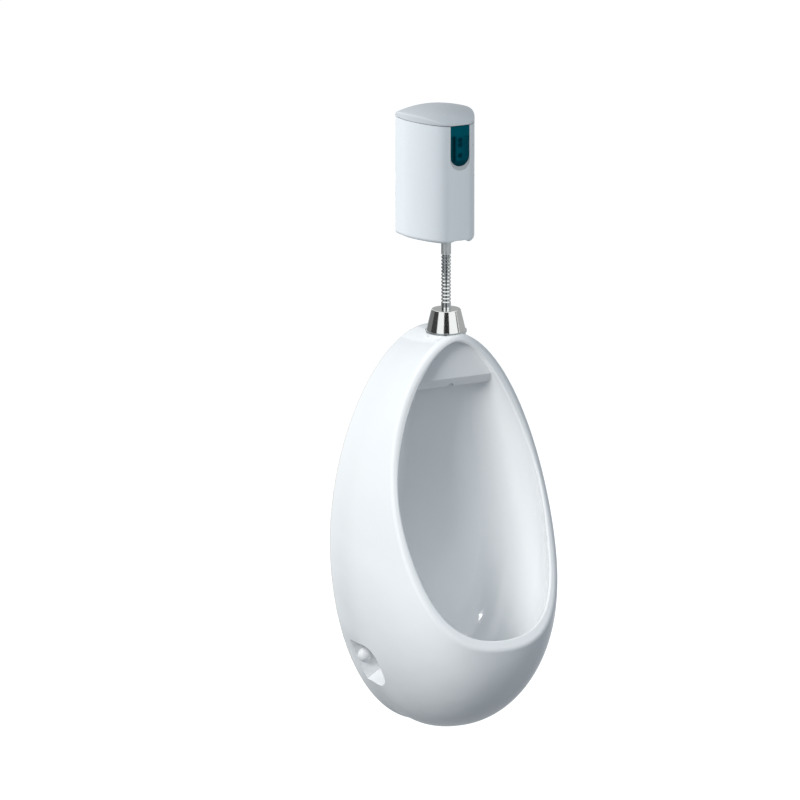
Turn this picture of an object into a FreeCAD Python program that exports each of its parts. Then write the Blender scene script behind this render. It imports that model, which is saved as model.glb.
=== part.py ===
import FreeCAD, Part
import math
import os

# A wall-hung urinal with an exposed sensor flush unit, in millimetres.
# The wall is the plane Y = 0 and the front faces -Y; depth means the distance out from the wall.
# Z = 0 is the axis of the waste outlet, and rise means the height above the bowl's lowest point.

# Bowl, outside
BOWL_HEIGHT = 515.0
BOWL_WIDTH = 276.6
BOWL_REACH = 211.0
OUTLET_RISE = 54.0
WIDEST_RISE_WALL = 252.0
WIDEST_RISE_FRONT = 190.0
TOP_LINE_RISE = 8.3
TIP_RISE = 166.6
SIDE_POWER = 1.416
SIDE_ROOT = 3.444
UNDER_POWER = 1.991
UNDER_ROOT = 2.466
UPPER_POWER_WALL = 1.83
UPPER_POWER_FRONT = 1.70
LOWER_POWER = 2.02
OUTLINE_POINTS = 28
OUTSIDE_ANGLES = (0.0, 12.0, 24.0, 35.0, 46.0, 56.0, 65.0, 73.0, 80.0, 85.5)

# Rim
RIM_TOP_DEPTH = 81.0
RIM_TOP_DROP = 8.4
RIM_LIP_DEPTH = 205.0
RIM_LIP_RISE = 148.6
RIM_ROUND = 7.6
RIM_INNER_ROUND = 2.4

# Bowl, inside
SIDE_WALL = 10.5
LIP_WALL = 10.5
TOP_WALL = 11.0
BACK_WALL_DEPTH = 38.0
BACK_WALL_HALF_WIDTH = 52.0
BACK_FOOT_RISE = 145.0
FLOOR_DEPTH = 100.0
FLOOR_RISE = 70.0
INNER_TIP_RISE = 170.0
FLOOR_ROOT = 2.4
BACK_ANGLES = (0.0, 20.0, 40.0, 60.0, 90.0)
FRONT_ANGLES = (20.0, 40.0, 58.0, 72.0, 82.0, 86.5)

# Hood over the back wall, with the flush chamber in it
HOOD_SET_BACK = 8.0
LEDGE_TOP_DROP = 55.0
LEDGE_FALL = 13.0
LEDGE_RUN = 12.0
CHAMBER_HALF_WIDTH = 42.0
CHAMBER_WALL = 12.0
CHAMBER_FLOOR = 11.0
CHAMBER_HEIGHT = 26.0
SPRAY_HOLE_RADIUS = 4.0
SPRAY_SLOT_LENGTH = 14.0
SPRAY_SLOT_WIDTH = 4.0
SPRAY_SLOT_OFFSET = 22.0

# Hollow in the back
RECESS_DEPTH = 24.0
RECESS_BORDER = 18.0

# Inlet at the top
INLET_COVER = 8.0
PAD_RADIUS = 24.8
PAD_HEIGHT = 12.0
PAD_MARGIN = 2.0
INLET_RADIUS = 15.0

# Drain
DRAIN_DEPTH = 92.0
DRAIN_RADIUS = 18.0
OUTLET_RADIUS = 22.0
OUTLET_WALL = 10.0
STRAINER_RADIUS = 24.0
STRAINER_THICKNESS = 3.0
STRAINER_SEAT_RISE = 66.0
STRAINER_HOLE_RADIUS = 2.4
STRAINER_RING_RADII = (8.5, 15.0)
STRAINER_RING_COUNT = 6
STRAINER_KNOB_RADIUS = 4.0
STRAINER_KNOB_HEIGHT = 8.0
FLANGE_RADIUS = 31.0
FLANGE_THICKNESS = 4.0
GASKET_THICKNESS = 6.0
COLLAR_WALL = 2.7
COLLAR_LENGTH = 28.0

# Side pockets for the fixing screws
FIXING_INSET = 42.3
FIXING_RISE = 100.0
FIXING_FLANGE = 13.0
FIXING_HOLE_RADIUS = 5.0
FIXING_LUG_WALL = 9.0
POCKET_SLOPE = 31.0
POCKET_LENGTH = 60.0
POCKET_DEPTH = 58.0
POCKET_INWARD = 12.0
POCKET_FRONT_ROUND = 24.0
CAP_WASHER_RADIUS = 8.0
CAP_WASHER_HOLE_RADIUS = 3.5
CAP_WASHER_THICKNESS = 2.0
CAP_RADIUS = 9.3
CAP_HEIGHT = 9.0
CAP_WALL = 1.2

# Hanger brackets
HANGER_SPACING = 80.0
HANGER_WIDTH = 24.0
HANGER_THICKNESS = 3.0
HANGER_PLATE_HEIGHT = 42.0
HANGER_ARM_DROP = 67.0
HANGER_TONGUE = 20.0
HANGER_LIP = 8.0
HANGER_TOP_ROOM = 6.0
HANGER_SIDE_ROOM = 2.0
HANGER_HOLE_RADIUS = 3.0

# Inlet spud, cone and ribbed tube
SPUD_FLANGE_RADIUS = 20.0
SPUD_FLANGE_THICKNESS = 3.0
SPUD_LENGTH = 20.0
CONE_BASE_RADIUS = 25.2
CONE_TOP_RADIUS = 18.2
CONE_HEIGHT = 29.0
CONE_WALL = 1.2
CONE_BEAD_RADIUS = 26.0
CONE_BEAD_HEIGHT = 2.4
CONE_EDGE_ROUND = 1.5
TUBE_RADIUS = 6.2
TUBE_GROOVE = 1.1
TUBE_BORE_RADIUS = 4.3
RIB_COUNT = 14
RIB_PITCH = 4.5
RIB_ROOT_START = 0.3
RIB_ROOT_END = 0.4
RIB_CREST_START = 0.7
TUBE_PLAIN_TOP = 30.0
TUBE_SEAT = 16.0

# Tube nut
NUT_ACROSS_FLATS = 23.0
NUT_SIDES = 6
NUT_HEIGHT = 17.0
NUT_LIP = 4.5
TUBE_COLLAR_RADIUS = 8.6
TUBE_COLLAR_THICKNESS = 2.0
TUBE_WASHER_THICKNESS = 1.5

# Flush unit casing
CASING_CLEAR_RISE = 120.0
CASING_HEIGHT = 149.5
CASING_HALF_WIDTH = 45.2
CASING_DEPTH = 87.3
CASING_SIDE_STRAIGHT = 20.0
CASING_CORNER_DEPTH = 40.0
CASING_CORNER_PULL = 15.0
CASING_PULL_SHARE = 0.5
CASING_FRONT_HALF = 12.0
CASING_FRONT_SAG = 0.65
CASING_WALL = 2.6
CASING_BOTTOM_ROUND = 5.0
ARCH_HALF_WIDTH = 15.0
ARCH_HEIGHT = 4.6
ARCH_RUN = 15.0
CASING_FLOOR_HOLE = 14.5

# Lid
SEAM_GAP = 0.9
LID_CROWN = 15.3
LID_DOME_RADIUS = 150.0
LID_CROWN_DEPTH = 28.0
LID_SKIRT_HEIGHT = 5.0
LID_SKIRT_WALL = 2.0
LID_EDGE_ROUND = 2.4

# Sensor
WINDOW_HALF_WIDTH = 13.2
WINDOW_HEIGHT = 51.0
WINDOW_SET_BACK = 0.9
WINDOW_THICKNESS = 2.4
SCOOP_DROP = 5.0
SCOOP_DEPTH = 1.2
HOLDER_WALL = 1.6
HOLDER_DEPTH = 9.0
HOLDER_GAP = 0.5
HOLDER_TOP_DROP = 2.5
HOLDER_FOOT_DROP = 44.4
BOARD_THICKNESS = 1.6
EYE_RADIUS = 2.5
EYE_LENGTH = 6.5
EYE_DROP_UPPER = 24.0
EYE_DROP_LOWER = 38.0
STATUS_RADIUS = 1.5
STATUS_DROP = 12.0

# Back plate
PLATE_THICKNESS = 3.0
PLATE_HOLE_RADIUS = 2.6
PLATE_HOLE_SPACING_X = 64.0
PLATE_HOLE_SPACING_Z = 112.0
PLATE_INLET_ROOM = 1.5
PLATE_TAB_HALF_WIDTH = 6.0
PLATE_TAB_DEPTH = 12.0
PLATE_TAB_HEIGHT = 8.0
COVER_SCREW_SPACING = 52.0
COVER_SCREW_RADIUS = 1.5
COVER_SCREW_HEAD_RADIUS = 3.0
COVER_SCREW_HEAD_HEIGHT = 1.8
COVER_SCREW_LENGTH = 8.0

# Battery holder
CELL_RADIUS = 7.2
CELL_LENGTH = 50.0
CELL_COUNT = 4
CELL_NIB_RADIUS = 2.7
CELL_NIB_HEIGHT = 1.2
BATTERY_WALL = 1.5
BATTERY_TOP_GAP = 9.0

# Valve
VALVE_RISE = 45.0
NIPPLE_RADIUS = 10.5
NIPPLE_BORE_RADIUS = 7.0
NIPPLE_STANDOUT = 16.0
NIPPLE_FLANGE_RADIUS = 14.0
NIPPLE_FLANGE_THICKNESS = 5.0
NIPPLE_SEAL_THICKNESS = 2.0
FILTER_LENGTH = 10.0
FILTER_WALL = 1.0
VALVE_HALF_WIDTH = 18.5
VALVE_HALF_HEIGHT = 16.0
PASSAGE_RADIUS = 5.5
STOP_RADIUS = 8.0
STOP_INSIDE = 10.0
STOP_HEAD_RADIUS = 5.5
STOP_HEAD_LENGTH = 5.0
STOP_SLOT_WIDTH = 1.6
STOP_SLOT_DEPTH = 2.0
CHAMBER_RADIUS = 14.0
CHAMBER_BELOW = 7.0
SEAT_RADIUS = 8.0
SEAT_ABOVE = 4.0
STUB_RADIUS = 9.0
STUB_LENGTH = 18.0
BONNET_GASKET_THICKNESS = 1.0
BONNET_HEIGHT = 16.0
BONNET_BORE_DEPTH = 9.0
VALVE_WASHER_RADIUS = 9.6
VALVE_WASHER_THICKNESS = 2.0
PISTON_RADIUS = 13.0
PISTON_HEIGHT = 9.0
BONNET_SCREW_OFFSET = 14.8
BONNET_SCREW_RADIUS = 1.6
BONNET_SCREW_HEAD_RADIUS = 3.0
BONNET_SCREW_HEAD_HEIGHT = 2.0
BONNET_SCREW_LENGTH = 25.0

# Solenoid
CORE_RADIUS = 5.4
CORE_BORE_RADIUS = 4.2
CORE_HEIGHT = 27.0
CORE_ROOF = 2.0
COIL_RADIUS = 11.0
COIL_HEIGHT = 21.0
YOKE_HALF_WIDTH = 9.0
YOKE_THICKNESS = 1.5
PLUNGER_RADIUS = 3.9
PLUNGER_LENGTH = 13.0
SPRING_RADIUS = 3.2
SPRING_WALL = 0.7

# Clearances, and how far cutting shapes run past what they cut
FIT = 0.05
SLIDE_FIT = 0.3
SEAT_FIT = 0.2
OVERCUT = 1.0
OVERRUN = 60.0
TOUCH = 0.01

# Levels worked out from the sizes above
BOTTOM = -OUTLET_RISE
PAD_Z = BOTTOM + BOWL_HEIGHT
LEDGE_Z = PAD_Z - LEDGE_TOP_DROP - LEDGE_FALL
HANGER_ARM_Z = PAD_Z - HANGER_ARM_DROP
HOOD_DEPTH = RIM_TOP_DEPTH - HOOD_SET_BACK
INLET_DEPTH = HOOD_DEPTH - INLET_COVER - INLET_RADIUS
CASING_Z = PAD_Z + CASING_CLEAR_RISE
SEAM_Z = CASING_Z + CASING_HEIGHT
VALVE_Z = CASING_Z + VALVE_RISE
STUB_Z = VALVE_Z - VALVE_HALF_HEIGHT - STUB_LENGTH
VALVE_TOP_Z = VALVE_Z + VALVE_HALF_HEIGHT
BONNET_Z = VALVE_TOP_Z + BONNET_GASKET_THICKNESS
BONNET_TOP_Z = BONNET_Z + BONNET_HEIGHT
SEAT_Z = VALVE_Z + SEAT_ABOVE
VALVE_BACK = PLATE_THICKNESS + NIPPLE_FLANGE_THICKNESS + NIPPLE_SEAL_THICKNESS
VALVE_FRONT = INLET_DEPTH + VALVE_HALF_WIDTH
STOP_DEPTH = (VALVE_BACK + INLET_DEPTH - CHAMBER_RADIUS) / 2.0
FIXING_SPACING = BOWL_WIDTH - 2.0 * FIXING_INSET
FIXING_Z = BOTTOM + FIXING_RISE
POCKET_FLOOR = FIXING_FLANGE
INNER_REACH = BOWL_REACH - LIP_WALL
UP = FreeCAD.Vector(0, 0, 1)
OUT = FreeCAD.Vector(0, -1, 0)
RIGHT = FreeCAD.Vector(1, 0, 0)


def at(x, depth, z):
    return FreeCAD.Vector(x, -depth, z)


def post(radius, x, depth, z, height):
    return Part.makeCylinder(radius, height, at(x, depth, z), UP)


def peg(radius, x, depth, z, length):
    return Part.makeCylinder(radius, length, at(x, depth, z), OUT)


def block(x_low, x_high, near, far, z_low, z_high):
    return Part.makeBox(x_high - x_low, far - near, z_high - z_low, at(x_low, far, z_low))


def pipe(outer, inner, x, depth, z, height):
    return post(outer, x, depth, z, height).cut(post(inner, x, depth, z, height))


def prism(points, along):
    return Part.Face(Part.makePolygon(points + points[:1])).extrude(along)


def mirrored(shape):
    return shape.mirror(FreeCAD.Vector(0, 0, 0), RIGHT)


def join(first, *others):
    return first.multiFuse(list(others)).removeSplitter()


def save(node, *solids):
    shape = solids[0] if len(solids) == 1 else Part.makeCompound(list(solids))
    shape = shape.Solids[0] if len(shape.Solids) == 1 else shape
    print(node, len(shape.Solids), "solids", round(shape.Volume / 1000.0, 2), "cm3", shape.isValid())
    shape.exportStep("parts/" + node + ".step")


# Egg-shaped section of the bowl in a plane parallel to the wall
def egg(depth, half_width, low, widest, top, low_power, up_power):
    points = []
    for step in range(OUTLINE_POINTS):
        angle = 2.0 * math.pi * step / OUTLINE_POINTS - math.pi / 2.0
        across, height = math.cos(angle), math.sin(angle)
        power = up_power if height >= 0 else low_power
        span = top - widest if height >= 0 else widest - low
        x = half_width * math.copysign(abs(across) ** (2.0 / power), across)
        z = widest + span * math.copysign(abs(height) ** (2.0 / power), height)
        points.append(at(x, depth, z))
    curve = Part.BSplineCurve()
    curve.interpolate(Points=points, PeriodicFlag=True)
    return Part.Wire([curve.toShape()])


def narrowing(depth, reach):
    return (1.0 - (depth / reach) ** SIDE_POWER) ** (1.0 / SIDE_ROOT)


def widest_z(depth):
    return BOTTOM + WIDEST_RISE_WALL + (WIDEST_RISE_FRONT - WIDEST_RISE_WALL) * depth / BOWL_REACH


def top_z(depth):
    return BOTTOM + BOWL_HEIGHT + TOP_LINE_RISE * depth / BOWL_REACH


def upper_power(depth):
    return UPPER_POWER_WALL + (UPPER_POWER_FRONT - UPPER_POWER_WALL) * depth / BOWL_REACH


def outside_section(depth, border=0.0):
    half_width = BOWL_WIDTH / 2.0 * narrowing(depth, BOWL_REACH) - border
    under = 1.0 - (1.0 - (depth / BOWL_REACH) ** UNDER_POWER) ** (1.0 / UNDER_ROOT)
    low = BOTTOM + TIP_RISE * under + border
    return egg(depth, half_width, low, widest_z(depth), top_z(depth) - border, LOWER_POWER, upper_power(depth))


def inside_half_width(depth):
    return (BOWL_WIDTH / 2.0 - SIDE_WALL) * narrowing(depth, INNER_REACH)


def inside_section(depth, half_width, low):
    top = top_z(depth) - TOP_WALL
    return egg(depth, half_width, low, widest_z(depth), top, LOWER_POWER, upper_power(depth))


def back_section(degrees):
    turn = math.radians(degrees)
    depth = FLOOR_DEPTH - (FLOOR_DEPTH - BACK_WALL_DEPTH) * math.cos(turn)
    spread = inside_half_width(FLOOR_DEPTH) - BACK_WALL_HALF_WIDTH
    half_width = BACK_WALL_HALF_WIDTH + spread * math.sin(turn)
    low = BOTTOM + FLOOR_RISE + (BACK_FOOT_RISE - FLOOR_RISE) * (1.0 - math.sin(turn))
    return inside_section(depth, half_width, low)


def front_section(degrees):
    share = math.sin(math.radians(degrees))
    depth = FLOOR_DEPTH + (INNER_REACH - FLOOR_DEPTH) * share
    climb = 1.0 - (1.0 - share ** 2) ** (1.0 / FLOOR_ROOT)
    low = BOTTOM + FLOOR_RISE + (INNER_TIP_RISE - FLOOR_RISE) * climb
    return inside_section(depth, inside_half_width(depth), low)


# What the rim's curved front takes off the bowl
def rim_cut():
    side = -BOWL_WIDTH
    high = PAD_Z + OVERRUN
    top = (RIM_TOP_DEPTH, PAD_Z - RIM_TOP_DROP)
    lip = (RIM_LIP_DEPTH, BOTTOM + RIM_LIP_RISE)
    bend = (RIM_TOP_DEPTH, (top[1] + lip[1]) / 2.0)
    beyond = (2.0 * lip[0] - bend[0], 2.0 * lip[1] - bend[1])
    curve = Part.BezierCurve()
    curve.setPoles([at(side, *top), at(side, *bend), at(side, *lip)])
    corners = [lip, beyond, (beyond[0], high), (RIM_TOP_DEPTH, high), top]
    points = [at(side, *corner) for corner in corners]
    lines = [Part.LineSegment(a, b).toShape() for a, b in zip(points, points[1:])]
    return Part.Face(Part.Wire([curve.toShape()] + lines)).extrude(RIGHT * (2.0 * BOWL_WIDTH))


def rim_edges(body):
    return [edge for edge in body.Edges if edge.BoundBox.YMax < OVERCUT - RIM_TOP_DEPTH]


def inner_rim_edges(body, cavity):
    chosen = []
    for edge in rim_edges(body):
        middle = edge.valueAt((edge.FirstParameter + edge.LastParameter) / 2.0)
        if cavity.distToShape(Part.Vertex(middle))[0] < TOUCH:
            chosen.append(edge)
    return chosen


# Hood: everything in the cavity behind the hood's face and over its slanted ledge stays solid
def hood():
    side = -BOWL_WIDTH
    high = PAD_Z + OVERRUN
    back = HOOD_DEPTH - LEDGE_RUN
    edge = (HOOD_DEPTH, LEDGE_Z + LEDGE_FALL)
    profile = [(0.0, LEDGE_Z), (back, LEDGE_Z), edge, (HOOD_DEPTH, high), (0.0, high)]
    return prism([at(side, *point) for point in profile], RIGHT * (2.0 * BOWL_WIDTH))


def flush_passages():
    near = RECESS_DEPTH + CHAMBER_WALL
    far = HOOD_DEPTH - CHAMBER_WALL
    low = LEDGE_Z + CHAMBER_FLOOR
    chamber = block(-CHAMBER_HALF_WIDTH, CHAMBER_HALF_WIDTH, near, far, low, low + CHAMBER_HEIGHT)
    bore = post(INLET_RADIUS, 0.0, INLET_DEPTH, low, PAD_Z - low + OVERRUN)
    spray_depth = HOOD_DEPTH - LEDGE_RUN
    drop = CHAMBER_FLOOR + LEDGE_RUN
    cuts = [bore, post(SPRAY_HOLE_RADIUS, 0.0, spray_depth, low - drop, drop + OVERCUT)]
    for side in (-1.0, 1.0):
        middle = side * SPRAY_SLOT_OFFSET
        slot = block(
            middle - SPRAY_SLOT_LENGTH / 2.0, middle + SPRAY_SLOT_LENGTH / 2.0,
            spray_depth - SPRAY_SLOT_WIDTH, spray_depth, low - drop, low + OVERCUT)
        cuts.append(slot)
    return chamber.multiFuse(cuts)


def drain_passages():
    seat = BOTTOM + STRAINER_SEAT_RISE
    pan = post(STRAINER_RADIUS + SLIDE_FIT, 0.0, DRAIN_DEPTH, seat, OVERRUN)
    drop = post(DRAIN_RADIUS, 0.0, DRAIN_DEPTH, 0.0, seat + OVERCUT)
    turn = Part.makeSphere(DRAIN_RADIUS, at(0.0, DRAIN_DEPTH, 0.0))
    run = peg(DRAIN_RADIUS, 0.0, COLLAR_LENGTH, 0.0, DRAIN_DEPTH - COLLAR_LENGTH)
    socket = peg(OUTLET_RADIUS, 0.0, 0.0, 0.0, COLLAR_LENGTH + SLIDE_FIT)
    face = peg(OUTLET_RADIUS + OUTLET_WALL, 0.0, 0.0, 0.0, FLANGE_THICKNESS + GASKET_THICKNESS)
    return pan.multiFuse([drop, turn, run, socket, face])


# Notch in the side for a fixing screw, with a flange left against the wall
def pocket():
    lean = math.radians(POCKET_SLOPE)
    along = FreeCAD.Vector(-math.sin(lean), 0, -math.cos(lean))
    outward = FreeCAD.Vector(math.cos(lean), 0, -math.sin(lean))
    middle = at(FIXING_SPACING / 2.0, POCKET_FLOOR, FIXING_Z)
    start = middle - along * (POCKET_LENGTH / 2.0) - outward * POCKET_INWARD
    floor = [start, start + along * POCKET_LENGTH]
    floor = floor + [floor[1] + outward * OVERRUN, start + outward * OVERRUN]
    notch = prism(floor, OUT * POCKET_DEPTH)
    front = -(POCKET_FLOOR + POCKET_DEPTH)
    rounded = []
    for edge in notch.Edges:
        flat = edge.BoundBox.YMax < front + TOUCH
        if flat and edge.tangentAt(edge.FirstParameter).cross(outward).Length < TOUCH:
            rounded.append(edge)
    return notch.makeFillet(POCKET_FRONT_ROUND, rounded)


# Hollow in the back, with a bar left across it for each hanger bracket
def back_recess():
    hollow = Part.Face(outside_section(0.0, RECESS_BORDER)).extrude(OUT * RECESS_DEPTH)
    keep = [peg(OUTLET_RADIUS + OUTLET_WALL, 0.0, 0.0, 0.0, RECESS_DEPTH)]
    lug = math.hypot(POCKET_LENGTH / 2.0, POCKET_INWARD) + FIXING_LUG_WALL
    for side in (-1.0, 1.0):
        keep.append(peg(lug, side * FIXING_SPACING / 2.0, 0.0, FIXING_Z, RECESS_DEPTH))
        left, right = hanger_sides(side)
        keep.append(block(left, right, 0.0, HANGER_LIP, HANGER_ARM_Z + SEAT_FIT, PAD_Z))
    return hollow.cut(Part.makeCompound(keep))


def hanger_sides(side):
    middle = side * HANGER_SPACING / 2.0
    half = HANGER_WIDTH / 2.0 + HANGER_SIDE_ROOM
    return middle - half, middle + half


def hanger_slot(side):
    left, right = hanger_sides(side)
    low = HANGER_ARM_Z - HANGER_PLATE_HEIGHT
    high = HANGER_ARM_Z + HANGER_TONGUE + HANGER_TOP_ROOM
    return block(left, right, HANGER_LIP, RECESS_DEPTH, low, high)


def bowl():
    stations = [BOWL_REACH * math.sin(math.radians(a)) for a in OUTSIDE_ANGLES]
    body = Part.makeLoft([outside_section(depth) for depth in stations], True, False)
    pad = post(PAD_RADIUS, 0.0, INLET_DEPTH, PAD_Z - PAD_HEIGHT, PAD_HEIGHT)
    above = post(CONE_BEAD_RADIUS + PAD_MARGIN, 0.0, INLET_DEPTH, PAD_Z, OVERRUN)
    body = body.cut(rim_cut()).Solids[0]
    body = body.makeFillet(RIM_ROUND, rim_edges(body))
    body = body.fuse(pad).cut(above)
    sections = [back_section(a) for a in BACK_ANGLES] + [front_section(a) for a in FRONT_ANGLES]
    cavity = Part.makeLoft(sections, True, False).cut(hood())
    body = body.cut(cavity)
    body = body.makeFillet(RIM_INNER_ROUND, inner_rim_edges(body, cavity))
    cuts = [back_recess(), flush_passages(), drain_passages()]
    for side in (-1.0, 1.0):
        notch = pocket() if side > 0 else mirrored(pocket())
        cuts.append(notch)
        cuts.append(peg(FIXING_HOLE_RADIUS, side * FIXING_SPACING / 2.0, 0.0, FIXING_Z, FIXING_FLANGE + OVERCUT))
        cuts.append(hanger_slot(side))
    for cut in cuts:
        body = body.cut(cut)
    return body


def strainer():
    seat = BOTTOM + STRAINER_SEAT_RISE + SEAT_FIT
    disc = post(STRAINER_RADIUS, 0.0, DRAIN_DEPTH, seat, STRAINER_THICKNESS)
    knob = post(STRAINER_KNOB_RADIUS, 0.0, DRAIN_DEPTH, seat, STRAINER_THICKNESS + STRAINER_KNOB_HEIGHT)
    disc = join(disc, knob)
    holes = []
    for index, ring in enumerate(STRAINER_RING_RADII):
        count = STRAINER_RING_COUNT * (index + 1)
        for step in range(count):
            angle = 2.0 * math.pi * step / count
            x = ring * math.cos(angle)
            depth = DRAIN_DEPTH + ring * math.sin(angle)
            holes.append(post(STRAINER_HOLE_RADIUS, x, depth, seat, STRAINER_THICKNESS))
    return disc.cut(Part.makeCompound(holes))


def outlet_flange():
    radius = OUTLET_RADIUS - SLIDE_FIT
    plate = peg(FLANGE_RADIUS, 0.0, 0.0, 0.0, FLANGE_THICKNESS)
    sleeve = peg(radius, 0.0, 0.0, 0.0, COLLAR_LENGTH)
    return join(plate, sleeve).cut(peg(radius - COLLAR_WALL, 0.0, 0.0, 0.0, COLLAR_LENGTH))


def outlet_gasket():
    ring = peg(FLANGE_RADIUS, 0.0, FLANGE_THICKNESS, 0.0, GASKET_THICKNESS)
    return ring.cut(peg(OUTLET_RADIUS, 0.0, FLANGE_THICKNESS, 0.0, GASKET_THICKNESS))


def hanger(side):
    left = side * HANGER_SPACING / 2.0 - HANGER_WIDTH / 2.0
    arm = HANGER_ARM_Z
    tongue = HANGER_LIP + SEAT_FIT
    reach = tongue + HANGER_THICKNESS
    low = arm - HANGER_PLATE_HEIGHT
    high = arm + HANGER_TONGUE
    under = arm - HANGER_THICKNESS
    profile = [
        (0.0, low), (HANGER_THICKNESS, low), (HANGER_THICKNESS, under), (reach, under),
        (reach, high), (tongue, high), (tongue, arm), (0.0, arm)]
    strip = prism([at(left, *point) for point in profile], RIGHT * HANGER_WIDTH)
    hole_z = (low + under) / 2.0
    return strip.cut(peg(HANGER_HOLE_RADIUS, left + HANGER_WIDTH / 2.0, 0.0, hole_z, HANGER_THICKNESS))


def cap_washer(side):
    x = side * FIXING_SPACING / 2.0
    disc = peg(CAP_WASHER_RADIUS, x, POCKET_FLOOR, FIXING_Z, CAP_WASHER_THICKNESS)
    return disc.cut(peg(CAP_WASHER_HOLE_RADIUS, x, POCKET_FLOOR, FIXING_Z, CAP_WASHER_THICKNESS))


# Dome that hides a fixing screw: a spherical cap on a short round skirt
def cap(side):
    x = side * FIXING_SPACING / 2.0
    near = POCKET_FLOOR + SEAT_FIT
    skirt = CAP_WASHER_THICKNESS
    crown = CAP_HEIGHT - skirt
    ball_radius = (CAP_RADIUS ** 2 + crown ** 2) / (2.0 * crown)
    centre = at(x, near + CAP_HEIGHT - ball_radius, FIXING_Z)
    body = peg(CAP_RADIUS, x, near, FIXING_Z, CAP_HEIGHT).common(Part.makeSphere(ball_radius, centre))
    hollow = peg(CAP_RADIUS - CAP_WALL, x, near, FIXING_Z, CAP_HEIGHT)
    return body.cut(hollow.common(Part.makeSphere(ball_radius - CAP_WALL, centre)))


def inlet_spud():
    flange = post(SPUD_FLANGE_RADIUS, 0.0, INLET_DEPTH, PAD_Z, SPUD_FLANGE_THICKNESS)
    plug = post(INLET_RADIUS - FIT, 0.0, INLET_DEPTH, PAD_Z - SPUD_LENGTH, SPUD_LENGTH)
    bore = post(TUBE_RADIUS + FIT, 0.0, INLET_DEPTH, PAD_Z - SPUD_LENGTH, SPUD_LENGTH + SPUD_FLANGE_THICKNESS)
    return join(flange, plug).cut(bore)


def spud_cover():
    low = PAD_Z + SEAT_FIT
    centre = at(0.0, INLET_DEPTH, low)
    bead = post(CONE_BEAD_RADIUS, 0.0, INLET_DEPTH, low, CONE_BEAD_HEIGHT)
    shell = Part.makeCone(CONE_BASE_RADIUS, CONE_TOP_RADIUS, CONE_HEIGHT, centre, UP)
    top = [edge for edge in shell.Edges if edge.BoundBox.ZMin > low + CONE_HEIGHT - TOUCH]
    shell = join(shell.makeFillet(CONE_EDGE_ROUND, top), bead)
    inner_height = CONE_HEIGHT - CONE_WALL
    hollow = Part.makeCone(
        CONE_BASE_RADIUS - CONE_WALL, CONE_TOP_RADIUS - CONE_WALL, inner_height, centre, UP)
    return shell.cut(hollow).cut(post(TUBE_RADIUS + SLIDE_FIT, 0.0, INLET_DEPTH, low, CONE_HEIGHT))


# Ribbed flush tube: one ruled skin through four circles for each rib, with plain ends and a collar on top
def flush_tube():
    top = STUB_Z - TUBE_WASHER_THICKNESS
    root = TUBE_RADIUS - TUBE_GROOVE
    first_rib = top - TUBE_PLAIN_TOP
    bottom = PAD_Z - TUBE_SEAT
    rings = [(TUBE_RADIUS, top), (TUBE_RADIUS, first_rib)]
    for rib in range(RIB_COUNT):
        start = first_rib - rib * RIB_PITCH
        rings.append((root, start - RIB_PITCH * RIB_ROOT_START))
        rings.append((root, start - RIB_PITCH * RIB_ROOT_END))
        rings.append((TUBE_RADIUS, start - RIB_PITCH * RIB_CREST_START))
        rings.append((TUBE_RADIUS, start - RIB_PITCH))
    rings.append((TUBE_RADIUS, bottom))
    circles = [Part.Wire([Part.makeCircle(r, at(0.0, INLET_DEPTH, z), UP)]) for r, z in rings]
    skin = Part.makeLoft(circles, True, True)
    collar = post(TUBE_COLLAR_RADIUS, 0.0, INLET_DEPTH, top - TUBE_COLLAR_THICKNESS, TUBE_COLLAR_THICKNESS)
    return skin.fuse(collar).cut(post(TUBE_BORE_RADIUS, 0.0, INLET_DEPTH, bottom, top - bottom))


def tube_washer():
    low = STUB_Z - TUBE_WASHER_THICKNESS
    return pipe(TUBE_COLLAR_RADIUS, TUBE_BORE_RADIUS, 0.0, INLET_DEPTH, low, TUBE_WASHER_THICKNESS)


def tube_nut():
    collar_low = STUB_Z - TUBE_WASHER_THICKNESS - TUBE_COLLAR_THICKNESS
    low = collar_low - NUT_LIP
    corner = NUT_ACROSS_FLATS / 2.0 / math.cos(math.pi / NUT_SIDES)
    corners = []
    for step in range(NUT_SIDES):
        angle = 2.0 * math.pi * step / NUT_SIDES
        corners.append(at(corner * math.cos(angle), INLET_DEPTH + corner * math.sin(angle), low))
    nut = prism(corners, UP * NUT_HEIGHT)
    nut = nut.cut(post(TUBE_RADIUS + FIT, 0.0, INLET_DEPTH, low, NUT_HEIGHT))
    return nut.cut(post(STUB_RADIUS + FIT, 0.0, INLET_DEPTH, collar_low, NUT_HEIGHT))


# Outline of the casing seen from above, drawn in by the given inset on every side but the wall's
def casing_outline(inset, z):
    half = CASING_HALF_WIDTH - inset
    far = CASING_DEPTH - inset
    front_half = CASING_FRONT_HALF
    front = far - CASING_FRONT_SAG
    lean = 2.0 * math.atan2(CASING_FRONT_SAG, front_half)
    pull = CASING_CORNER_PULL - inset * CASING_PULL_SHARE
    corner = [
        (half, CASING_SIDE_STRAIGHT), (half, CASING_CORNER_DEPTH),
        (front_half + pull * math.cos(lean), front - pull * math.sin(lean)), (front_half, front)]
    right = Part.BezierCurve()
    right.setPoles([at(x, depth, z) for x, depth in corner])
    left = Part.BezierCurve()
    left.setPoles([at(-x, depth, z) for x, depth in corner])
    face = Part.Arc(at(front_half, front, z), at(0.0, far, z), at(-front_half, front, z))
    lines = [
        Part.LineSegment(at(-half, 0.0, z), at(half, 0.0, z)),
        Part.LineSegment(at(half, 0.0, z), at(half, CASING_SIDE_STRAIGHT, z)),
        Part.LineSegment(at(-half, 0.0, z), at(-half, CASING_SIDE_STRAIGHT, z))]
    edges = [curve.toShape() for curve in lines + [right, left, face]]
    return Part.Face(Part.Wire(Part.__sortEdges__(edges)))


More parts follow.
